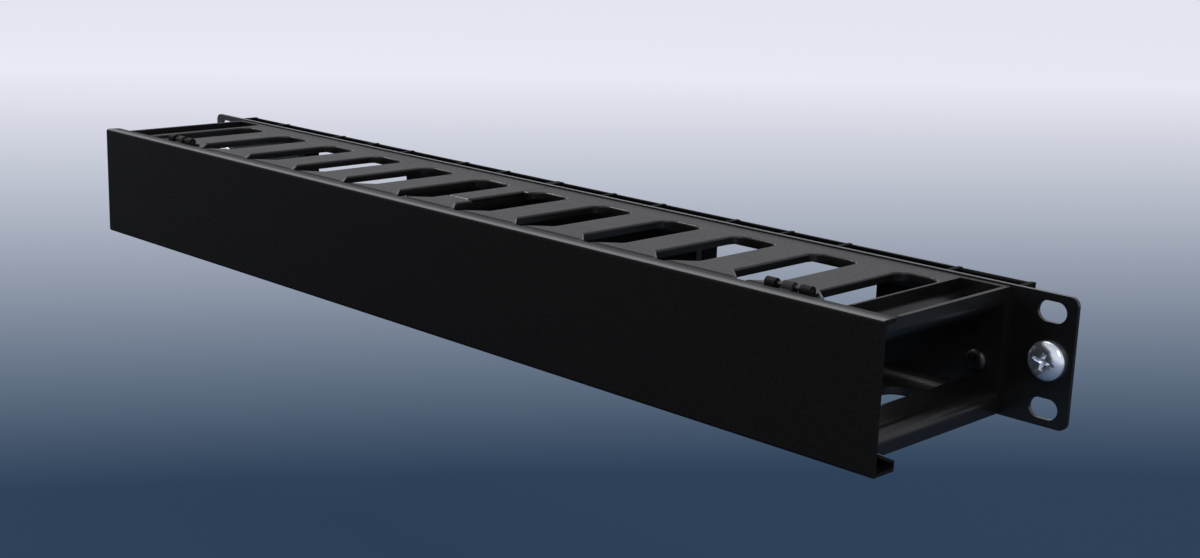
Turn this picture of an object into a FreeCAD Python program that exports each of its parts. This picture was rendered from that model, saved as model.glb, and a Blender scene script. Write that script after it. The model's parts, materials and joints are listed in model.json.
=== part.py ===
import FreeCAD, Part
import math
import os

# Horizontal cable manager, one rack unit high and nineteen inches wide, with a hinged cover.
# X runs along the length, Y from the cover to the rear, Z up, in millimetres.
# The origin is the middle of the panel's front face, level with the middle of the ears.

# Rack panel
panel_length = 482.6
panel_height = 43.6
panel_thickness = 1.5
panel_corner_radius = 3.0
rack_hole_inset = 8.75
rack_hole_spacing_z = 31.75
rack_slot_length = 10.2
rack_slot_width = 6.8
centre_hole_diameter = 7.0

# Finger duct, moulded in two equal halves
ear_width = 24.0
duct_height = 42.3
duct_depth = 70.4
duct_wall = 2.4
comb_thickness = 3.0
root_fillet_radius = 5.0
slots_per_half = 6
finger_pitch = 34.9
middle_finger_width = 14.7
slot_width = 19.3
slot_rear_land = 10.0
slot_corner_radius = 5.5
slot_mouth_width = 4.0
tip_length = 9.6
tip_flange_height = 8.0
tip_flange_thickness = 2.4
tip_chamfer_rise = 2.8
tip_chamfer_run = 6.2
end_finger_width = 18.8
end_finger_depth = 67.5
end_channel_height = 8.2
end_channel_wall = 1.6
end_channel_radius = 4.8

# Seam between the two halves
seam_offset = 4.4
seam_gap = 0.4
lap_front = 44.8
lap_rib_width = 1.6
lap_rib_height = 1.4

# Pass-through windows
window_width = 81.6
window_height = 31.0
window_radius = 4.0
window_end_margin = 49.7
window_clearance = 0.4

# Rear frames
rear_depth = 8.0
rear_wall = 1.5
rear_wall_drop = 0.3
rear_rib = 1.8
rear_rib_xs = (31.5, 58.3, 95.6, 121.4, 147.1, 192.3)
rear_end_overhang = 3.4
rear_seam_gap = 0.2
peg_diameter = 3.0
peg_clearance = 0.1
peg_proud = 0.6

# Duct screws and nuts
screw_inner_x = 15.9
screw_end_margin = 8.8
peg_end_margin = 11.0
screw_drop = 4.8
screw_diameter = 4.0
screw_hole_diameter = 4.4
screw_head_diameter = 8.0
screw_head_height = 2.0
screw_tip_past_nut = 1.0
nut_across_flats = 7.0
nut_height = 3.2
nut_clearance = 0.2
socket_wall = 2.0

# Rack screws
rack_screw_diameter = 6.0
rack_screw_head_diameter = 13.2
rack_screw_head_height = 3.0
rack_screw_length = 7.0
head_rim_share = 0.4
head_crown_share = 0.72
recess_width_share = 0.14
recess_span_share = 0.56
recess_depth_share = 0.55

# Cover
cover_half_length = 220.0
cover_top = 22.6
cover_bottom = -25.9
cover_wall = 1.9
cover_tip_gap = 1.1
cover_lip_depth = 6.8
cover_lip_fall = 0.3
cover_lip_rear_wall = 1.5
cover_corner_radius = 1.2
cover_hook_depth = 11.5
cover_hook_wall = 1.1
cover_hook_clearance = 0.5

# Hinge
hinge_finger = 4
hinge_shift = 3.9
hinge_width = 17.8
knuckle_width = 4.0
knuckle_radius = 1.7
knuckle_side_gap = 0.4
knuckle_lip_gap = 1.2
knuckle_seat_gap = 0.15
hinge_pin_diameter = 1.6
hinge_pin_clearance = 0.05
hinge_base_thickness = 0.8
hinge_base_depth = 5.2
tab_width = 6.0
tab_depth = 1.4
tab_clearance = 0.1
tab_inset = 1.1

# Sizes that follow from the ones above
half_height = duct_height / 2
duct_half_length = panel_length / 2 - ear_width
end_finger_x = duct_half_length - end_finger_width
first_slot_x = (middle_finger_width + slot_width) / 2
lap_rear = slot_rear_land + slot_corner_radius
slot_front = duct_depth - tip_length
shoulder = (slot_width - slot_mouth_width) / 2
rack_hole_x = panel_length / 2 - rack_hole_inset
window_x = duct_half_length - window_end_margin - window_width / 2
rear_half_length = duct_half_length + rear_end_overhang
screw_xs = (screw_inner_x, duct_half_length - screw_end_margin)
peg_x = duct_half_length - peg_end_margin
socket_across_flats = nut_across_flats + 2 * (nut_clearance + socket_wall)
rear_face = panel_thickness + rear_depth
cover_front = duct_depth + cover_tip_gap + cover_wall
hinge_x = first_slot_x + (hinge_finger + 0.5) * finger_pitch
hinge_y = -(cover_front - cover_lip_depth - knuckle_lip_gap - knuckle_radius)
hinge_z = half_height + knuckle_seat_gap + knuckle_radius
tab_y = hinge_y + knuckle_radius + tab_inset
overshoot = 1.0


def box(x0, x1, y0, y1, z0, z1):
    return Part.makeBox(x1 - x0, y1 - y0, z1 - z0, FreeCAD.Vector(x0, y0, z0))


def rod_y(x, z, radius, y0, y1):
    return Part.makeCylinder(radius, y1 - y0, FreeCAD.Vector(x, y0, z), FreeCAD.Vector(0, 1, 0))


def rod_x(y, z, radius, x0, x1):
    return Part.makeCylinder(radius, x1 - x0, FreeCAD.Vector(x0, y, z), FreeCAD.Vector(1, 0, 0))


def half_turn(shape):
    """The same shape turned half round the Y axis, as the other half of the duct lies."""
    return shape.rotated(FreeCAD.Vector(0, 0, 0), FreeCAD.Vector(0, 1, 0), 180)


def flipped_down(shape):
    """The same shape mirrored from the upper comb to the lower one."""
    return shape.mirror(FreeCAD.Vector(0, 0, 0), FreeCAD.Vector(0, 0, 1))


def face_in_plan(points, z):
    return Part.Face(Part.makePolygon([FreeCAD.Vector(x, y, z) for x, y in points + points[:1]]))


def profile_along_x(points, x0, x1):
    """A closed outline of (y, z) points, run from x0 to x1."""
    wire = Part.makePolygon([FreeCAD.Vector(x0, y, z) for y, z in points + points[:1]])
    return Part.Face(wire).extrude(FreeCAD.Vector(x1 - x0, 0, 0))


def rounded_block(width, height, radius, y0, y1, x=0.0, z=0.0):
    """A block through the panel's thickness whose corners are rounded in the panel's plane."""
    block = box(x - width / 2, x + width / 2, y0, y1, z - height / 2, z + height / 2)
    if radius <= 0:
        return block
    corners = [e for e in block.Edges if abs(e.Vertexes[0].Y - e.Vertexes[1].Y) > (y1 - y0) / 2]
    return block.makeFillet(min(radius, width / 2.001, height / 2.001), corners)


def hexagon_y(x, z, across_flats, y0, y1):
    """A hexagonal prism along Y with a flat above and a flat below."""
    reach = across_flats / math.sqrt(3)
    points = [(x + reach * math.cos(math.radians(60 * k)), z + reach * math.sin(math.radians(60 * k)))
              for k in range(7)]
    wire = Part.makePolygon([FreeCAD.Vector(px, y0, pz) for px, pz in points])
    return Part.Face(wire).extrude(FreeCAD.Vector(0, y1 - y0, 0))


def window(y0, y1, grown=0.0):
    return rounded_block(window_width + 2 * grown, window_height + 2 * grown, window_radius + grown,
                         y0, y1, x=window_x)


def rack_panel():
    """The steel panel with its ears, rack slots, windows and screw holes."""
    back = panel_thickness + overshoot
    plate = rounded_block(panel_length, panel_height, panel_corner_radius, 0, panel_thickness)
    cuts = []
    for side in (-1, 1):
        for level in (-1, 1):
            cuts.append(rounded_block(rack_slot_length, rack_slot_width, rack_slot_width / 2, -overshoot,
                                      back, x=side * rack_hole_x, z=level * rack_hole_spacing_z / 2))
        cuts.append(rod_y(side * rack_hole_x, 0, centre_hole_diameter / 2, -overshoot, back))
        for x in screw_xs:
            cuts.append(rod_y(side * x, -side * screw_drop, screw_hole_diameter / 2, -overshoot, back))
        cuts.append(rod_y(side * peg_x, side * screw_drop, peg_diameter / 2 + peg_clearance, -overshoot, back))
    opening = window(-overshoot, back, grown=window_clearance)
    cuts.extend([opening, half_turn(opening)])
    return plate.cut(cuts)


def arc(centre, radius, first, last):
    """Points of an arc in steps of 15 degrees, from one angle to the other."""
    step = 15 if last > first else -15
    return [(centre[0] + radius * math.cos(math.radians(a)), centre[1] + radius * math.sin(math.radians(a)))
            for a in range(first, last + step, step)]


def slot_cut(x, last=False):
    """One finger slot of the upper comb: rounded at the rear, with shoulders down to a narrow mouth.
    The last slot has no outer shoulder, because the end finger's side runs straight to the front."""
    low = half_height - end_channel_height - overshoot
    left = x - slot_width / 2
    right = end_finger_x if last else x + slot_width / 2
    mouth = slot_mouth_width / 2
    front = -(duct_depth + overshoot)
    round_y = -(slot_rear_land + slot_corner_radius)
    outline = arc((right - slot_corner_radius, round_y), slot_corner_radius, 0, 90)
    outline += arc((left + slot_corner_radius, round_y), slot_corner_radius, 90, 180)
    outline += [(left, -(slot_front - shoulder)), (x - mouth, -slot_front), (x - mouth, front)]
    if last:
        outline.append((right, front))
    else:
        outline += [(x + mouth, front), (x + mouth, -slot_front), (right, -(slot_front - shoulder))]
    return face_in_plan(outline, low).extrude(FreeCAD.Vector(0, 0, half_height + overshoot - low))


def comb_section():
    """The upper comb before its slots: plate, tip flange and the fillet at its root, as (y, z) points."""
    top = half_height
    under = top - comb_thickness
    front = -duct_depth
    radius = root_fillet_radius
    centre = (-(duct_wall + radius), under - radius)
    return [
        (0, top),
        (front + tip_chamfer_run, top),
        (front, top - tip_chamfer_rise),
        (front, top - tip_flange_height),
        (front + tip_flange_thickness, top - tip_flange_height),
        (front + tip_flange_thickness, under),
    ] + arc(centre, radius, 90, 0) + [(0, centre[1])]


def whole_comb():
    """The upper comb from the centre of the slot left of the middle out to the end finger."""
    comb = profile_along_x(comb_section(), -first_slot_x, end_finger_x + end_channel_wall / 2)
    slots = [slot_cut(-first_slot_x)]
    for k in range(slots_per_half):
        slots.append(slot_cut(first_slot_x + k * finger_pitch, last=k == slots_per_half - 1))
    return comb.cut(slots)


def tip_wedge():
    """What the chamfer takes off the top of every finger tip, for the end finger that is cut from a block."""
    top = half_height
    beyond = tip_chamfer_rise / tip_chamfer_run * overshoot
    rear = -(duct_depth - tip_chamfer_run)
    return profile_along_x([(rear, top), (-(duct_depth + overshoot), top - tip_chamfer_rise - beyond),
                            (-(duct_depth + overshoot), top + overshoot), (rear, top + overshoot)],
                           end_finger_x - overshoot, duct_half_length + overshoot)


def end_channel():
    """The upper end finger: a channel open upwards, rounded below for the cables to bend over."""
    top = half_height
    bottom = top - end_channel_height
    wall = end_channel_wall
    outer = box(end_finger_x, duct_half_length, -end_finger_depth, 0, bottom, top)
    inner = box(end_finger_x + wall, duct_half_length - wall, -(end_finger_depth - wall), -duct_wall,
                bottom + wall, top + overshoot)
    rounded = []
    for block, floor, radius in ((outer, bottom, end_channel_radius), (inner, bottom + wall, end_channel_radius - wall)):
        feet = [e for e in block.Edges if e.BoundBox.ZMax < floor + 0.01 and e.BoundBox.YLength > wall]
        rounded.append(block.makeFillet(radius, feet))
    return rounded[0].cut([rounded[1], tip_wedge()])


def back_wall():
    """The wall against the panel. At the seam its lower part runs past its upper one."""
    gap = seam_gap / 2
    upper = box(seam_offset + gap, duct_half_length, -duct_wall, 0, -duct_wall, half_height)
    lower = box(gap - seam_offset, duct_half_length, -duct_wall, 0, -half_height, -gap)
    return upper.fuse(lower)


def under_lap(comb):
    """The upper comb of this half: at the middle finger it keeps the tip and the layer under the other's tongue."""
    gap = seam_gap / 2
    start = -2 * first_slot_x
    low = 0
    high = half_height + overshoot
    lap_level = half_height - comb_thickness / 2
    under_plate = half_height - comb_thickness
    tongue_side = seam_offset - gap
    plate_side = seam_offset + gap
    root_front = -(duct_wall + root_fillet_radius + overshoot)
    rib = box(tongue_side - lap_rib_width, tongue_side, -lap_front, -lap_rear, under_plate - lap_rib_height, lap_level)
    cut = comb.cut([
        box(start, first_slot_x, -(lap_front + gap), -lap_rear, lap_level - gap, high),
        box(start, plate_side, -(lap_rear + gap), overshoot, lap_level - gap, high),
        box(tongue_side, first_slot_x, -lap_front, -lap_rear, low, high),
        box(start, -tongue_side, -(lap_rear + gap), overshoot, low, high),
        box(start, plate_side, -(duct_wall + 2 * gap), overshoot, low, high),
        box(start, plate_side, root_front, overshoot, low, under_plate),
    ])
    return cut.fuse(rib.cut(box(start, first_slot_x, -(lap_front + gap), -lap_rear, lap_level - gap, high)))


def with_tongue(comb):
    """The comb whose middle finger the other half owns: this one only lays its tongue on it."""
    gap = seam_gap / 2
    start = -2 * first_slot_x
    low = 0
    high = half_height + overshoot
    front = -(duct_depth + overshoot)
    lap_level = half_height - comb_thickness / 2
    return comb.cut([
        box(start, gap - seam_offset, front, overshoot, low, high),
        box(start, first_slot_x, front, -(lap_front - gap), low, high),
        box(start, seam_offset + gap, -lap_front, -duct_wall, low, lap_level + gap),
        box(start, first_slot_x, -lap_front, -(lap_rear - gap), low, lap_level + gap),
    ])


def duct_half():
    """The right half of the finger duct. The left half is the same moulding, turned round the Y axis."""
    comb = whole_comb()
    upper = under_lap(comb).fuse(end_channel())
    lower = flipped_down(with_tongue(comb).fuse(end_channel()))
    joined = back_wall().fuse([upper, lower])
    front = -(duct_wall + overshoot)
    cuts = [window(front, overshoot), rod_y(peg_x, screw_drop, peg_diameter / 2 + peg_clearance, front, overshoot)]
    for x in screw_xs:
        cuts.append(rod_y(x, -screw_drop, screw_hole_diameter / 2, front, overshoot))
    for level in (-1, 1):
        cuts.append(tab_block(hinge_x + level * hinge_shift, level * half_height - comb_thickness - overshoot,
                              level * half_height + comb_thickness + overshoot, tab_clearance))
    return joined.cut(cuts).removeSplitter()


def tab_block(x, z0, z1, clearance=0.0):
    """The tab that holds a hinge base in its finger, or with a clearance the hole for it."""
    return box(x - tab_width / 2 - clearance, x + tab_width / 2 + clearance,
               tab_y - tab_depth / 2 - clearance, tab_y + tab_depth / 2 + clearance, z0, z1)


def rear_frame():
    """The right rear frame: a ribbed tray behind the panel, with a sleeve round the window and a locating peg."""
    y0 = panel_thickness
    y1 = rear_face
    x0 = rear_seam_gap / 2
    low = half_height - rear_wall_drop
    frame = box(x0, rear_half_length, y1 - rear_wall, y1, -low, low)
    ribs = (x0 + rear_rib / 2,) + rear_rib_xs + (rear_half_length - rear_rib / 2,)
    parts = [box(x - rear_rib / 2, x + rear_rib / 2, y0, y1, -half_height, half_height) for x in ribs]
    parts.append(window(y0, y1, grown=rear_wall))
    parts.append(rod_y(peg_x, screw_drop, peg_diameter / 2, -(duct_wall + peg_proud), y1))
    for x in screw_xs:
        parts.append(hexagon_y(x, -screw_drop, socket_across_flats, y0, y1))
    frame = frame.fuse(parts)
    cuts = [window(y0 - overshoot, y1 + overshoot)]
    for x in screw_xs:
        cuts.append(rod_y(x, -screw_drop, screw_hole_diameter / 2, y0 - overshoot, y1 + overshoot))
        cuts.append(hexagon_y(x, -screw_drop, nut_across_flats + 2 * nut_clearance, y1 - nut_height, y1 + overshoot))
    return frame.cut(cuts).removeSplitter()


def cover():
    """The hinged cover: flat face, turned-back lip above, hooked lip below, and one knuckle at each hinge."""
    front = -cover_front
    top = cover_top
    bottom = cover_bottom
    wall = cover_wall
    lip_rear = front + cover_lip_depth
    lip_top = top - cover_lip_fall
    nose = front + cover_hook_depth
    slope = tip_chamfer_rise / tip_chamfer_run
    seat = -half_height - cover_hook_clearance
    leaf_front = front + wall + cover_tip_gap / 2
    leaf_top = seat + (-(duct_depth - tip_chamfer_run) - leaf_front) * slope
    nose_top = leaf_top - (nose - leaf_front) * slope
    floor = bottom + cover_hook_wall
    hollow_rear = nose - cover_hook_wall
    hollow_top = leaf_top - cover_hook_wall - (hollow_rear - leaf_front) * slope
    outline = [
        (lip_rear, lip_top),
        (front, top),
        (front, bottom),
        (nose - cover_hook_wall / 2, bottom),
        (nose, bottom + cover_hook_wall / 2),
        (nose, nose_top),
        (leaf_front, leaf_top),
        (leaf_front, leaf_top - cover_hook_wall),
        (hollow_rear, hollow_top),
        (hollow_rear, floor),
        (front + wall, floor),
        (front + wall, top - wall),
        (lip_rear, lip_top - cover_lip_rear_wall),
    ]
    shell = profile_along_x(outline, -cover_half_length, cover_half_length)
    corners = [e for e in shell.Edges if e.BoundBox.XLength > cover_half_length
               and abs(e.BoundBox.YMin - front) < 0.01
               and min(abs(e.BoundBox.ZMin - top), abs(e.BoundBox.ZMin - bottom)) < 0.01]
    shell = shell.makeFillet(cover_corner_radius, corners)
    for side in (-1, 1):
        x = side * hinge_x + hinge_shift
        half = knuckle_width / 2
        knuckle = rod_x(hinge_y, hinge_z, knuckle_radius, x - half, x + half)
        tab = box(x - half, x + half, lip_rear - overshoot, hinge_y, half_height + knuckle_seat_gap, lip_top)
        bore = rod_x(hinge_y, hinge_z, hinge_pin_diameter / 2 + hinge_pin_clearance,
                     x - hinge_width, x + hinge_width)
        shell = shell.fuse([knuckle, tab]).cut(bore)
    return shell.removeSplitter()


def hinge_base(x):
    """The fixed half of one hinge: two knuckles on a foot that stands on the finger, with a tab into it."""
    foot_rear = hinge_y - knuckle_radius + hinge_base_depth
    foot = box(x - hinge_width / 2, x + hinge_width / 2, hinge_y - knuckle_radius, foot_rear,
               half_height, half_height + hinge_base_thickness)
    gap = box(x - knuckle_width / 2 - knuckle_side_gap, x + knuckle_width / 2 + knuckle_side_gap,
              hinge_y - knuckle_radius - overshoot, hinge_y + knuckle_radius + knuckle_side_gap,
              half_height - overshoot, hinge_z + knuckle_radius + overshoot)
    base = foot
    for side in (-1, 1):
        outer = x + side * hinge_width / 2
        inner = outer - side * knuckle_width
        low_x, high_x = min(outer, inner), max(outer, inner)
        base = base.fuse([rod_x(hinge_y, hinge_z, knuckle_radius, low_x, high_x),
                          box(low_x, high_x, hinge_y - knuckle_radius, hinge_y + knuckle_radius,
                              half_height, hinge_z)])
    base = base.cut(gap)
    tab = tab_block(x, half_height - comb_thickness, half_height)
    bore = rod_x(hinge_y, hinge_z, hinge_pin_diameter / 2, x - hinge_width, x + hinge_width)
    return base.fuse(tab).cut(bore).removeSplitter()


def hinge_pin(x):
    return rod_x(hinge_y, hinge_z, hinge_pin_diameter / 2, x - hinge_width / 2, x + hinge_width / 2)


def pan_head(x, z, seat, diameter, height):
    """A pan head on its seat, facing the front, with a cross recess."""
    radius = diameter / 2
    rim = height * head_rim_share
    front = -(height + overshoot) + seat
    bottom = seat - height * (1 - recess_depth_share)
    long = diameter * recess_span_share / 2
    short = diameter * recess_width_share / 2
    head = rod_y(x, z, radius, seat - rim, seat)
    crown = Part.makeCone(radius, radius * head_crown_share, height - rim,
                          FreeCAD.Vector(x, seat - rim, z), FreeCAD.Vector(0, -1, 0))
    return head.fuse(crown).cut([box(x - long, x + long, front, bottom, z - short, z + short),
                                 box(x - short, x + short, front, bottom, z - long, z + long)])


def rack_screw(x):
    """A pan head screw through the ear's middle hole."""
    head = pan_head(x, 0, 0, rack_screw_head_diameter, rack_screw_head_height)
    return head.fuse(rod_y(x, 0, rack_screw_diameter / 2, 0, rack_screw_length)).removeSplitter()


def duct_screw(x, z):
    """A low pan head screw from the duct through wall, panel and rear frame into its nut."""
    head = pan_head(x, z, -duct_wall, screw_head_diameter, screw_head_height)
    shank = rod_y(x, z, screw_diameter / 2, -duct_wall, rear_face + screw_tip_past_nut)
    return head.fuse(shank).removeSplitter()


def duct_nut(x, z):
    """A nut in its pocket in the rear frame."""
    blank = hexagon_y(x, z, nut_across_flats, rear_face - nut_height, rear_face)
    return blank.cut(rod_y(x, z, screw_diameter / 2, 0, rear_face + overshoot))


def build():
    half = duct_half()
    frame = rear_frame()
    nodes = {
        "rack_panel": rack_panel(),
        "duct_right": half,
        "duct_left": half_turn(half),
        "rear_frame_right": frame,
        "rear_frame_left": half_turn(frame),
        "cover": cover(),
    }
    for name, side in (("left", -1), ("right", 1)):
        nodes["hinge_base_" + name] = hinge_base(side * hinge_x + hinge_shift)
        nodes["hinge_pin_" + name] = hinge_pin(side * hinge_x + hinge_shift)
        nodes["rack_screw_" + name] = rack_screw(side * rack_hole_x)
        for number, x in enumerate(screw_xs, 1):
            nodes["duct_screw_%s_%d" % (name, number)] = duct_screw(side * x, -side * screw_drop)
            nodes["duct_nut_%s_%d" % (name, number)] = duct_nut(side * x, -side * screw_drop)
    return nodes


os.makedirs("parts", exist_ok=True)
for node, shape in build().items():
    print(node, len(shape.Solids), shape.isValid(), round(shape.Volume))
    shape.exportStep("parts/%s.step" % node)
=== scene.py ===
import bpy
import bmesh
import json
import math
from mathutils import Euler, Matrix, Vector


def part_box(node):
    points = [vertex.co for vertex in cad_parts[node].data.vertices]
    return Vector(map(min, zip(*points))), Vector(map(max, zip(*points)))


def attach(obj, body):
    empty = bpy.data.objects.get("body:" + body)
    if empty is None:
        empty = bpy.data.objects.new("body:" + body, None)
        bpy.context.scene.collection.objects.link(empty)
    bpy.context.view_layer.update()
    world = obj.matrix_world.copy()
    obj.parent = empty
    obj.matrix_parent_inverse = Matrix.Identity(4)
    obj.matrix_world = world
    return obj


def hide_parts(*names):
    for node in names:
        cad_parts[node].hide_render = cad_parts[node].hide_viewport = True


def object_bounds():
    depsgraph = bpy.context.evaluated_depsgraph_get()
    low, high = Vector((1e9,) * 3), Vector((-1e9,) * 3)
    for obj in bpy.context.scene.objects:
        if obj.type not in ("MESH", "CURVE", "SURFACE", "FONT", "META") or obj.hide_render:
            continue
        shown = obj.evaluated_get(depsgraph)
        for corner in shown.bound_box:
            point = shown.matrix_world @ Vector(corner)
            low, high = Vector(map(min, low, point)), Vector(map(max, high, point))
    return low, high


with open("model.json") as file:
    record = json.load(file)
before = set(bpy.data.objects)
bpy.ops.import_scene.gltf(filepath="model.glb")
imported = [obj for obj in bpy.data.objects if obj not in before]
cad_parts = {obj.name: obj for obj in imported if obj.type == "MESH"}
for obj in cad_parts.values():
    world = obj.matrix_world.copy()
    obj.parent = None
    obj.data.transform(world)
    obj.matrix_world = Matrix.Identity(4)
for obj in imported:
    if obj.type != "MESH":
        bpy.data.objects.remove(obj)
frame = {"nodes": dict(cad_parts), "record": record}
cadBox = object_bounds()
print("frame loaded with", len(frame["nodes"]), "nodes")

mm = 0.001
sides = ("left", "right")

# the camera stands where the photograph was taken from
cameraPlace = {
    "location": (485.6 * mm, -461.7 * mm, 142.4 * mm),
    "angles": (76.581, -1.896, 44.836),
    "focalPixels": 1666.3, "pictureWidth": 1200,
    "sensor": 36.0, "nearest": 10 * mm,
}


def makeCamera(place):
    data = bpy.data.cameras.new("camera")
    data.sensor_width = place["sensor"]
    data.lens = place["focalPixels"] * place["sensor"] / place["pictureWidth"]
    data.clip_start = place["nearest"]
    camera = bpy.data.objects.new("camera", data)
    camera.location = place["location"]
    camera.rotation_euler = Euler([math.radians(angle) for angle in place["angles"]], "XYZ")
    bpy.context.scene.collection.objects.link(camera)
    bpy.context.scene.camera = camera


makeCamera(cameraPlace)
print("camera placed")


class Wire:
    # a shader socket that takes part in written sums
    def __init__(self, finish, socket):
        self.finish = finish
        self.socket = socket

    def maths(self, operation, *values):
        return self.finish.node("ShaderNodeMath", {"operation": operation}, dict(enumerate(values)))

    def __add__(self, other):
        return self.maths("ADD", self, other)

    def __radd__(self, other):
        return self.maths("ADD", other, self)

    def __sub__(self, other):
        return self.maths("SUBTRACT", self, other)

    def __rsub__(self, other):
        return self.maths("SUBTRACT", other, self)

    def __mul__(self, other):
        return self.maths("MULTIPLY", self, other)

    def __rmul__(self, other):
        return self.maths("MULTIPLY", other, self)

    def __truediv__(self, other):
        return self.maths("DIVIDE", self, other)

    def __rtruediv__(self, other):
        return self.maths("DIVIDE", other, self)

    def __pow__(self, other):
        return self.maths("POWER", self, other)

    def __abs__(self):
        return self.maths("ABSOLUTE", self)

    def __gt__(self, other):
        return self.maths("GREATER_THAN", self, other)

    def __lt__(self, other):
        return self.maths("LESS_THAN", self, other)


class Finish:
    # a material, or the world, and the ways to add nodes to it
    def __init__(self, material, coordinates="Object"):
        self.material = material
        self.material.use_nodes = True
        self.nodes = self.material.node_tree.nodes
        self.links = self.material.node_tree.links
        self.shader = self.nodes.get("Principled BSDF")
        self.place = self.node("ShaderNodeTexCoord", {}, {}, coordinates)

    def node(self, kind, settings, inputs, output=0):
        made = self.nodes.new(kind)
        for setting, value in settings.items():
            if setting == "stops":
                for element, (position, level) in zip(made.color_ramp.elements, value):
                    element.position, element.color = position, (level, level, level, 1)
            else:
                setattr(made, setting, value)
        for socket, value in inputs.items():
            self.feed(made.inputs[socket], value)
        return Wire(self, made.outputs[output])

    def feed(self, socket, value):
        if isinstance(value, Wire):
            self.links.new(value.socket, socket)
        else:
            socket.default_value = value

    def along(self, axis):
        return self.node("ShaderNodeSeparateXYZ", {}, {0: self.place}, axis)

    def noise(self, size, detail=2.0, roughness=0.5, stretch=None):
        # size is the width of one speck in metres
        place = self.place
        if stretch:
            place = self.node("ShaderNodeMapping", {}, {"Vector": place, "Scale": stretch})
        inputs = {"Vector": place, "Scale": 1 / size, "Detail": detail, "Roughness": roughness}
        return self.node("ShaderNodeTexNoise", {}, inputs, "Fac")

    def ramp(self, value, stops):
        return self.node("ShaderNodeValToRGB", {"stops": stops}, {"Fac": value})

    def share(self, value, start, end):
        # 0 at the start, 1 at the end
        return self.node("ShaderNodeMapRange", {}, {0: value, 1: start, 2: end})

    def blend(self, factor, first, second):
        # sockets 6 and 7 take the colours, and output 2 gives the mixed one
        inputs = {0: factor, 6: first, 7: second}
        return self.node("ShaderNodeMix", {"data_type": "RGBA"}, inputs, 2)

    def bump(self, height, distance):
        return self.node("ShaderNodeBump", {}, {"Height": height, "Distance": distance})

    def surface(self, **sockets):
        for socket, value in sockets.items():
            self.feed(self.shader.inputs[socket.replace("_", " ")], value)
        return self.material


def grey(level, warmth=0.0):
    return (level * (1 + warmth), level, level * (1 - warmth), 1)


def between(mask, first, second):
    return first + mask * (second - first)


noiseMiddle = 0.5  # a noise swings round this value


# moulded black plastic: grained where it is further than smoothFrom above or below the middle,
# and smoother and glossier elsewhere
plasticLook = {
    "dark": 0.0030, "light": 0.0340, "warmth": 0.03,
    "grain": 1.5 * mm, "grainNoise": {"detail": 3.0, "roughness": 0.6},
    "grainStops": [(0.36, 0.0), (0.64, 1.0)], "grainDepth": 0.14 * mm,
    "cloud": 26 * mm, "cloudNoise": {"detail": 3.0, "roughness": 0.55}, "cloudShare": 0.35,
    "flowPart": 3, "flowStretch": (0.2, 1, 1),
    "shine": 0.58, "shineSpread": 0.1, "gloss": 0.36,
    "smoothFrom": 21.12 * mm, "smoothTone": 0.15, "smoothShine": 0.3, "smoothGrain": 0.02,
}
# the finger tips under the cover's lip get a painted shade: a darker colour, and a rougher finish
ductLook = dict(
    plasticLook,
    tip={"from": -60.6 * mm, "tone": (0.001, 0.001, 0.001, 1), "shine": 0.35},
)
# the cover's face has a fine dull texture, and the top of its upper edge carries a painted sheen,
# paler towards the front
coverLook = dict(
    plasticLook, light=0.0085, warmth=0.06, grain=0.8 * mm, cloud=40 * mm,
    shine=0.62, shineSpread=0.06, gloss=0.07, smoothFrom=0.0,
    lip={"from": 22.2 * mm, "rear": -69.0 * mm, "front": -72.6 * mm,
         "dim": (0.035, 0.035, 0.036, 1), "bright": (0.17, 0.17, 0.172, 1)},
)
# the rear frames lie wholly within smoothFrom, so they are smooth all over
rearLook = dict(plasticLook, dark=0.0014, light=0.0028, gloss=0.06, smoothFrom=1.0, smoothShine=0.6)
hingeLook = dict(plasticLook, dark=0.0018, light=0.0035, shine=0.5, gloss=0.1, smoothFrom=0.0)


def mouldedPlastic(name, look):
    finish = Finish(bpy.data.materials.new(name))
    grained = abs(finish.along("Z")) > look["smoothFrom"]
    grain = finish.noise(look["grain"], **look["grainNoise"])
    cloud = finish.noise(look["cloud"], **look["cloudNoise"])
    flow = finish.noise(look["cloud"] / look["flowPart"], stretch=look["flowStretch"])
    speck = finish.ramp(grain, look["grainStops"])
    pattern = cloud * look["cloudShare"] + speck * (1 - look["cloudShare"])
    colour = finish.blend(pattern * between(grained, look["smoothTone"], 1),
                          grey(look["dark"], look["warmth"]), grey(look["light"], look["warmth"]))
    spread = ((cloud - noiseMiddle) + (flow - noiseMiddle)) * look["shineSpread"]
    shine = between(grained, look["smoothShine"], look["shine"]) + spread
    # the top face of the cover's lip gets a painted sheen, dim at the rear and bright at the front
    if "lip" in look:
        lip = look["lip"]
        sheenToFront = finish.share(finish.along("Y"), lip["rear"], lip["front"])
        tone = finish.blend(sheenToFront, lip["dim"], lip["bright"])
        colour = finish.blend(finish.along("Z") > lip["from"], colour, tone)
    # painted shade of the cover's lip on the finger tops in front of y = from: darker colour, and
    # more roughness
    if "tip" in look:
        tip = look["tip"]
        underLipShade = (finish.along("Y") < tip["from"]) * grained
        colour = finish.blend(underLipShade, colour, tip["tone"])
        shine = shine + underLipShade * tip["shine"]
    skin = finish.bump(grain * between(grained, look["smoothGrain"], 1), look["grainDepth"])
    return finish.surface(Base_Color=colour, Roughness=shine, Normal=skin,
                          Specular_IOR_Level=look["gloss"])


panelLook = {
    "dark": 0.0026, "light": 0.0044,
    "peel": 1.6 * mm, "peelDepth": 0.012 * mm, "grain": 0.2 * mm,
    "shine": 0.3, "shineSpread": 0.1, "gloss": 0.42,
}


def coatedSteel(name, look):
    finish = Finish(bpy.data.materials.new(name))
    peel = finish.noise(look["peel"])
    colour = finish.blend(finish.noise(look["grain"]), grey(look["dark"]), grey(look["light"]))
    shine = look["shine"] + (peel - noiseMiddle) * look["shineSpread"]
    skin = finish.bump(peel, look["peelDepth"])
    return finish.surface(Base_Color=colour, Roughness=shine, Normal=skin,
                          Specular_IOR_Level=look["gloss"])


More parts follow.
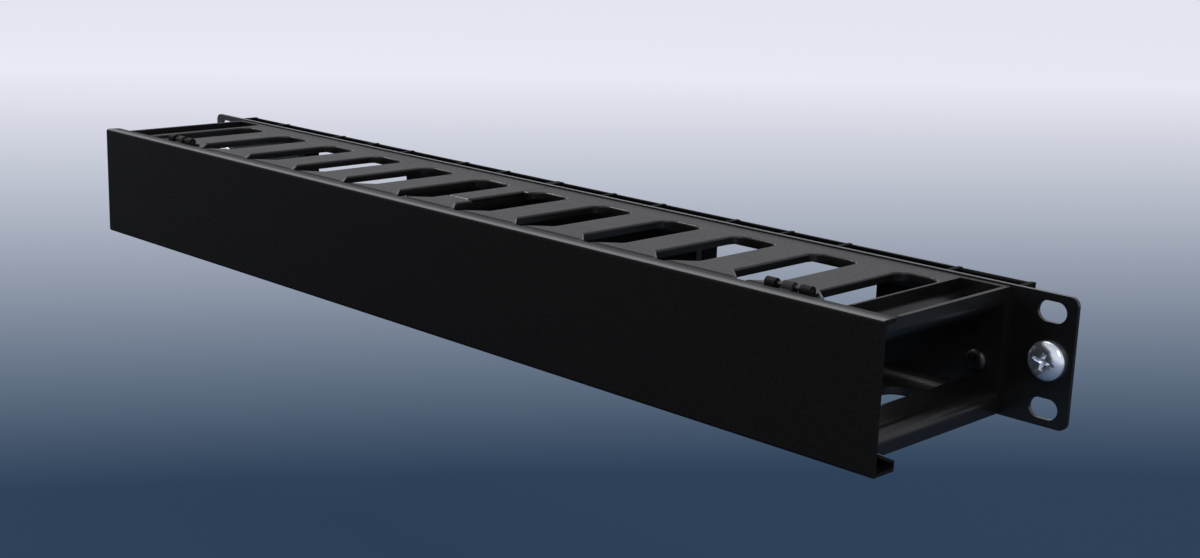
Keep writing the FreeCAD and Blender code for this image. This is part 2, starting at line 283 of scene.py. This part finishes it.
zincLook = {
    "colour": (0.90, 0.94, 1.0, 1), "dull": (0.66, 0.70, 0.78, 1),
    "spangle": 0.9 * mm, "spangleNoise": {"detail": 3.0, "roughness": 0.6},
    "scratch": 0.25 * mm, "scratchStretch": (1, 0.2, 1), "scratchDepth": 0.004 * mm,
    "shine": 0.2, "shineSpread": 0.14, "metal": 0.93,
}
pinLook = dict(zincLook, colour=(0.05, 0.05, 0.052, 1), dull=(0.03, 0.03, 0.031, 1),
               shine=0.4, shineSpread=0.1, metal=1.0)


def platedSteel(name, look):
    finish = Finish(bpy.data.materials.new(name))
    spangle = finish.noise(look["spangle"], **look["spangleNoise"])
    scratch = finish.noise(look["scratch"], stretch=look["scratchStretch"])
    colour = finish.blend(spangle, look["dull"], look["colour"])
    shine = look["shine"] + (scratch - noiseMiddle) * look["shineSpread"]
    skin = finish.bump(scratch, look["scratchDepth"])
    return finish.surface(Base_Color=colour, Roughness=shine, Normal=skin, Metallic=look["metal"])


materials = {
    "duct": mouldedPlastic("duct plastic", ductLook),
    "rear_frame": mouldedPlastic("rear frame plastic", rearLook),
    "cover": mouldedPlastic("cover plastic", coverLook),
    "hinge": mouldedPlastic("hinge plastic", hingeLook),
    "panel": coatedSteel("coated steel", panelLook),
    "pin": platedSteel("pin steel", pinLook),
    "zinc": platedSteel("zinc plating", zincLook),
    "black_steel": coatedSteel("black plating", panelLook),
}
print("materials mixed")

touch = 0.1 * mm  # two places nearer than this count as one
# edges sharper than "sharp" are rounded, and faces meeting at less than "smooth" look as one
rounding = {
    "weld": 0.002 * mm, "flat": math.radians(0.3),
    "sharp": math.radians(30), "smooth": math.radians(35), "steps": 2,
    "wideSteps": 3, "faceWeight": 80,
}


def dropSelection():
    for other in bpy.context.selected_objects:
        other.select_set(False)


def pickOnly(piece):
    dropSelection()
    piece.select_set(True)
    bpy.context.view_layer.objects.active = piece


def pickFaces(piece, wanted):
    for face in piece.data.polygons:
        face.select = wanted(face)
    for corner in piece.data.vertices:
        corner.select = False
    for edge in piece.data.edges:
        edge.select = False


def inEditMode(piece, *steps):
    pickOnly(piece)
    bpy.ops.object.mode_set(mode="EDIT")
    for step in steps:
        step()
    bpy.ops.object.mode_set(mode="OBJECT")


def applied(piece, kind, **settings):
    pickOnly(piece)
    modifier = piece.modifiers.new(kind.lower(), kind)
    for setting, value in settings.items():
        setattr(modifier, setting, value)
    bpy.ops.object.modifier_apply(modifier=modifier.name)


def roundEdges(piece, width, sharp=rounding["sharp"]):
    applied(piece, "BEVEL", limit_method="ANGLE", angle_limit=sharp, width=width,
            segments=rounding["steps"])


def near(first, second):
    return abs(first - second) < touch


def weldFlat():
    bpy.ops.mesh.select_all(action="SELECT")
    bpy.ops.mesh.remove_doubles(threshold=rounding["weld"])
    bpy.ops.mesh.dissolve_limited(angle_limit=rounding["flat"])


def weighEdges(piece, wanted):
    # marks the sharp edges that take the wider rounding
    mesh = bmesh.new()
    mesh.from_mesh(piece.data)
    layer = mesh.edges.layers.float.new("bevel_weight_edge")
    for edge in mesh.edges:
        middle = (edge.verts[0].co + edge.verts[1].co) / 2
        if len(edge.link_faces) == 2 and edge.calc_face_angle() > rounding["sharp"]:
            edge[layer] = float(wanted(middle))
    mesh.to_mesh(piece.data)
    mesh.free()


def easedCopy(node, edge, wide=0.0, wanted=None):
    # a welded copy of a CAD node with its sharp edges rounded, the wanted ones wider
    piece = bpy.data.objects.new(node + "_eased", frame["nodes"][node].data.copy())
    bpy.context.scene.collection.objects.link(piece)
    inEditMode(piece, weldFlat)
    if wanted:
        weighEdges(piece, wanted)
        applied(piece, "BEVEL", limit_method="WEIGHT", width=wide, segments=rounding["wideSteps"])
    roundEdges(piece, edge)
    pickOnly(piece)
    bpy.ops.object.shade_smooth_by_angle(angle=rounding["smooth"])
    applied(piece, "WEIGHTED_NORMAL", keep_sharp=True, weight=rounding["faceWeight"])
    return piece


def dress(piece, body, slotName, *nodes):
    piece.data.materials.clear()
    piece.data.materials.append(materials[slotName])
    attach(piece, body)
    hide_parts(*nodes)
    return piece


def slotOf(node):
    parts = frame["record"]["subparts"]
    return next(part["material_slot"] for part in parts if part["node"] == node)


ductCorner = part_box("duct_right")[1]
ductEdges = {
    "edge": 0.3 * mm, "slotEdge": 1.3 * mm,
    "slotRear": -9.0 * mm, "slotFront": -63.0 * mm, "endFinger": 18.0 * mm,
}


def onSlotEdge(spot):
    onTop = near(abs(spot.z), ductCorner.z)
    onFinger = ductEdges["slotFront"] < spot.y < ductEdges["slotRear"]
    return onTop and onFinger and abs(spot.x) < ductCorner.x - ductEdges["endFinger"]


for side in sides:
    node = "duct_" + side
    piece = easedCopy(node, ductEdges["edge"], ductEdges["slotEdge"], onSlotEdge)
    dress(piece, "frame", "duct", node)
print("duct halves rounded")

coverLow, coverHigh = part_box("cover")
coverEdges = {"corner": 2.2 * mm, "lipDepth": 6.8 * mm}


def onCoverCorner(spot):
    # the upright edges at the ends of the lip and of the hook
    atLip = near(spot.y, coverLow.y + coverEdges["lipDepth"])
    return near(abs(spot.x), coverHigh.x) and (atLip or near(spot.y, coverHigh.y))


rearRims = {"from": 20.8 * mm, "rise": 0.6 * mm}


def raiseRims(piece, look):
    # the rims above and below stand a little further out
    for up in (1, -1):
        pickFaces(piece, lambda face: False)
        for corner in piece.data.vertices:
            corner.select = corner.co.z * up > look["from"]
        rise = (0, 0, up * look["rise"])
        inEditMode(piece, lambda: bpy.ops.transform.translate(value=rise))


plainEdges = {
    "rack_panel": 0.2 * mm, "cover": 0.35 * mm,
    "rear_frame_left": 0.2 * mm, "rear_frame_right": 0.2 * mm,
    "hinge_base_left": 0.2 * mm, "hinge_base_right": 0.2 * mm,
    "hinge_pin_left": 0.2 * mm, "hinge_pin_right": 0.2 * mm,
}
for node, edge in plainEdges.items():
    if node == "cover":
        piece = easedCopy(node, edge, coverEdges["corner"], onCoverCorner)
        dress(piece, "cover", slotOf(node), node)
    else:
        piece = dress(easedCopy(node, edge), "frame", slotOf(node), node)
        if node.startswith("rear_frame"):
            raiseRims(piece, rearRims)
print("panel, cover, rear frames and hinges rounded")

# what the rack screws and the duct screws share
screwMaking = {
    "headCorners": 64, "shankCorners": 48, "sharp": math.radians(40),
    "headEdge": 0.12 * mm, "shankEdge": 0.4 * mm, "overlap": 0.1 * mm,
    "barStart": 1 * mm, "barTaper": 0.7, "slotDepth": 0.5,
    "coreDepth": 0.5, "threadDepth": 0.6, "threadGap": 0.5 * mm, "threadSteps": 20,
}
rackScrew = dict(
    screwMaking, seat=0.0, rim=0.9 * mm, domeSteps=8, crown=0.30,
    cross=6.6 * mm, crossWidth=1.5 * mm, slot=9.4 * mm, slotWidth=1.1 * mm, recess=2.0 * mm,
    thread=6.0 * mm, pitch=1.0 * mm, turn=12,
)
ductScrew = dict(
    screwMaking, seat=-2.4 * mm, rim=0.6 * mm, domeSteps=6, crown=0.38,
    cross=4.4 * mm, crossWidth=1.0 * mm, slot=0.0, recess=1.3 * mm,
    thread=4.0 * mm, pitch=0.7 * mm, turn=30,
)
nutEdge = 0.3 * mm


def facesFront(face):
    return face.normal.y < -0.9


def facesRear(face):
    return face.normal.y > 0.9


def applyPlace():
    bpy.ops.object.transform_apply(location=True, rotation=True, scale=True)
    return bpy.context.object


def addRod(centre, radius, start, end, corners):
    dropSelection()
    bpy.ops.mesh.primitive_cylinder_add(vertices=corners, radius=radius, depth=end - start,
                                        location=(centre.x, (start + end) / 2, centre.z),
                                        rotation=(math.pi / 2, 0, 0))
    return applyPlace()


def domeFace(rod, width, height, steps):
    # the front face is drawn in and forward step by step along an arc
    pickFaces(rod, facesFront)
    grow = []
    for step in range(steps):
        first, last = math.pi / 2 * step / steps, math.pi / 2 * (step + 1) / steps
        inset = {"thickness": width * (math.cos(first) - math.cos(last)),
                 "depth": height * (math.sin(last) - math.sin(first))}
        grow.append(lambda inset=inset: bpy.ops.mesh.inset(**inset))
    inEditMode(rod, *grow)


def addBar(centre, length, width, start, end, turn, taper):
    # a bar across the head, narrower at its bottom, that cuts one arm of the recess
    dropSelection()
    bpy.ops.mesh.primitive_cube_add(size=1, location=(centre.x, (start + end) / 2, centre.z),
                                    rotation=(0, math.radians(turn), 0))
    bpy.context.object.scale = (length, end - start, width)
    bar = applyPlace()
    pickFaces(bar, facesRear)
    inEditMode(bar, lambda: bpy.ops.transform.resize(value=(taper, 1, taper),
                                                     center_override=(centre.x, end, centre.z)))
    return bar


def cutWith(piece, cutter):
    applied(piece, "BOOLEAN", operation="DIFFERENCE", object=cutter, solver="EXACT")
    bpy.data.objects.remove(cutter)


def addThread(centre, look, start, end):
    # one triangle is wound along the shank by a screw modifier
    dropSelection()
    depth = look["pitch"] * look["threadDepth"]
    middle = centre.x + look["thread"] / 2 - depth
    bpy.ops.mesh.primitive_circle_add(vertices=3, radius=depth, fill_type="NOTHING",
                                      location=(middle, start, centre.z),
                                      rotation=(0, 0, -math.pi / 2))
    coil = applyPlace()
    axis = bpy.data.objects.new("thread axis", None)
    axis.location = (centre.x, 0, centre.z)
    bpy.context.scene.collection.objects.link(axis)
    turns = max(1, int((end - start) / look["pitch"]) - 1)
    applied(coil, "SCREW", object=axis, axis="Y", angle=2 * math.pi, screw_offset=look["pitch"],
            iterations=turns, steps=look["threadSteps"], render_steps=look["threadSteps"],
            use_merge_vertices=True)
    bpy.data.objects.remove(axis)
    inEditMode(coil, lambda: bpy.ops.mesh.select_all(action="SELECT"),
               lambda: bpy.ops.mesh.fill_holes(sides=3),
               lambda: bpy.ops.mesh.normals_make_consistent(inside=False))
    return coil


def joined(name, pieces):
    pickOnly(pieces[0])
    for piece in pieces:
        piece.select_set(True)
    bpy.ops.object.join()
    whole = bpy.context.object
    whole.name = name
    bpy.ops.object.shade_smooth_by_angle(angle=rounding["smooth"])
    return whole


def modelScrew(node, look):
    low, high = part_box(node)
    centre = (low + high) / 2
    radius = (high.x - low.x) / 2
    front, seat = low.y, look["seat"]
    head = addRod(centre, radius, seat - look["rim"], seat, look["headCorners"])
    domeFace(head, radius * (1 - look["crown"]), seat - look["rim"] - front, look["domeSteps"])
    bars = [(look["cross"], look["crossWidth"], look["recess"], look["turn"]),
            (look["cross"], look["crossWidth"], look["recess"], look["turn"] + 90)]
    if look["slot"]:
        bars.append((look["slot"], look["slotWidth"], look["recess"] * look["slotDepth"],
                     look["turn"]))
    for length, width, depth, turn in bars:
        cutWith(head, addBar(centre, length, width, front - look["barStart"], front + depth, turn,
                             look["barTaper"]))
    roundEdges(head, look["headEdge"], look["sharp"])
    core = look["thread"] / 2 - look["pitch"] * look["coreDepth"]
    shank = addRod(centre, core, seat - look["overlap"], high.y, look["shankCorners"])
    roundEdges(shank, look["shankEdge"], look["sharp"])
    gap = look["threadGap"]
    coil = addThread(centre, look, max(seat, gap), high.y - gap)
    return joined(node + "_modelled", [head, shank, coil])


for side in sides:
    node = "rack_screw_" + side
    dress(modelScrew(node, rackScrew), "frame", "zinc", node)
    for number in ("1", "2"):
        node = "duct_screw_%s_%s" % (side, number)
        dress(modelScrew(node, ductScrew), "frame", "black_steel", node)
        node = "duct_nut_%s_%s" % (side, number)
        dress(easedCopy(node, nutEdge), "frame", "zinc", node)
print("screws modelled")

# the CAD nodes behind the pieces get the same finishes
for node, part in frame["nodes"].items():
    part.data.materials.clear()
    part.data.materials.append(materials[slotOf(node)])

# a plain sheet, slate blue round the object and pale further out
sheet = {
    "slate": (0.190, 0.260, 0.346, 1), "pale": (0.932, 0.932, 0.970, 1),
    "overhead": (0.78, 0.79, 0.82, 1), "gamma": 2.2,
}
floorLook = {
    "size": 12.0, "drop": 120 * mm, "dull": 0.9, "gloss": 0.1, "plainShare": 0.8,
    "heading": math.radians(53.0), "width": 0.2, "limit": 1.495, "reach": 1.277, "start": 0.739,
}


def rays(finish):
    # what the camera sees, straight or mirrored or through glass
    kinds = ("Is Camera Ray", "Is Glossy Ray", "Is Transmission Ray")
    straight, mirrored, through = [finish.node("ShaderNodeLightPath", {}, {}, kind)
                                   for kind in kinds]
    return straight + mirrored + through


def asSeen(finish, tone):
    # display values turned into light
    return finish.node("ShaderNodeGamma", {}, {0: tone, 1: sheet["gamma"]})


def makeFloor(look):
    level = cadBox[0].z - look["drop"]
    bpy.ops.mesh.primitive_plane_add(size=look["size"], location=(0, 0, level))
    floor = bpy.context.object
    floor.name = "floor"
    finish = Finish(bpy.data.materials.new("floor"))
    x, y = finish.along("X"), finish.along("Y")
    rise, run = math.sin(look["heading"]), math.cos(look["heading"])
    ahead = y * run - x * rise
    aside = (x * run + y * rise) * look["width"]
    away = (ahead * ahead + aside * aside) ** 0.5
    # the fade starts steeply and flattens towards its limit
    fade = look["limit"] - look["reach"] / (away + look["start"])
    tone = asSeen(finish, finish.blend(fade, sheet["slate"], sheet["pale"]))
    finish.surface(Base_Color=tone, Roughness=look["dull"], Specular_IOR_Level=look["gloss"])
    # part of the tone is shown as it is, and the rest takes the object's shadow
    shaded = Wire(finish, finish.shader.outputs[0])
    plain = finish.node("ShaderNodeEmission", {}, {"Color": tone})
    share = rays(finish) * look["plainShare"]
    mixed = finish.node("ShaderNodeMixShader", {}, {0: share, 1: shaded, 2: plain})
    finish.feed(finish.nodes["Material Output"].inputs["Surface"], mixed)
    floor.data.materials.append(finish.material)


skyLook = {
    "low": (0.16, 0.17, 0.19, 1), "high": (0.62, 0.64, 0.68, 1), "from": 0.05, "to": 0.8,
}


def makeWorld(look):
    # a soft sky that lights the object, seen as the same pale sheet
    world = bpy.data.worlds.new("studio")
    bpy.context.scene.world = world
    finish = Finish(world, "Generated")
    share = finish.share(finish.along("Z"), look["from"], look["to"])
    sky = finish.blend(share, look["low"], look["high"])
    seen = asSeen(finish, finish.blend(share, sheet["pale"], sheet["overhead"]))
    lit = finish.blend(rays(finish), sky, seen)
    finish.feed(finish.nodes["Background"].inputs["Color"], lit)


lamps = {
    "overhead": {"place": (-0.3, 0.4, 1.7), "aim": (0, 0, 0), "size": (1.4, 1.0), "power": 11},
    "rimLight": {"place": (-1.4, -0.45, 1.45), "aim": (0, 0, 0), "size": (0.5, 0.3), "power": 15},
    "frontFill": {"place": (1.5, -1.5, 1.2), "aim": (0.1, 0, 0), "size": (0.5, 0.5), "power": 8},
}


def makeLamp(name, place, aim, size, power):
    data = bpy.data.lights.new(name, "AREA")
    data.shape = "RECTANGLE"
    data.size, data.size_y = size
    data.energy = power
    lamp = bpy.data.objects.new(name, data)
    lamp.location = place
    lamp.rotation_euler = (Vector(aim) - Vector(place)).to_track_quat("-Z", "Y").to_euler()
    bpy.context.scene.collection.objects.link(lamp)


makeFloor(floorLook)
makeWorld(skyLook)
for name, settings in lamps.items():
    makeLamp(name, **settings)
bpy.context.scene.view_settings.view_transform = "Standard"
print("studio lit")
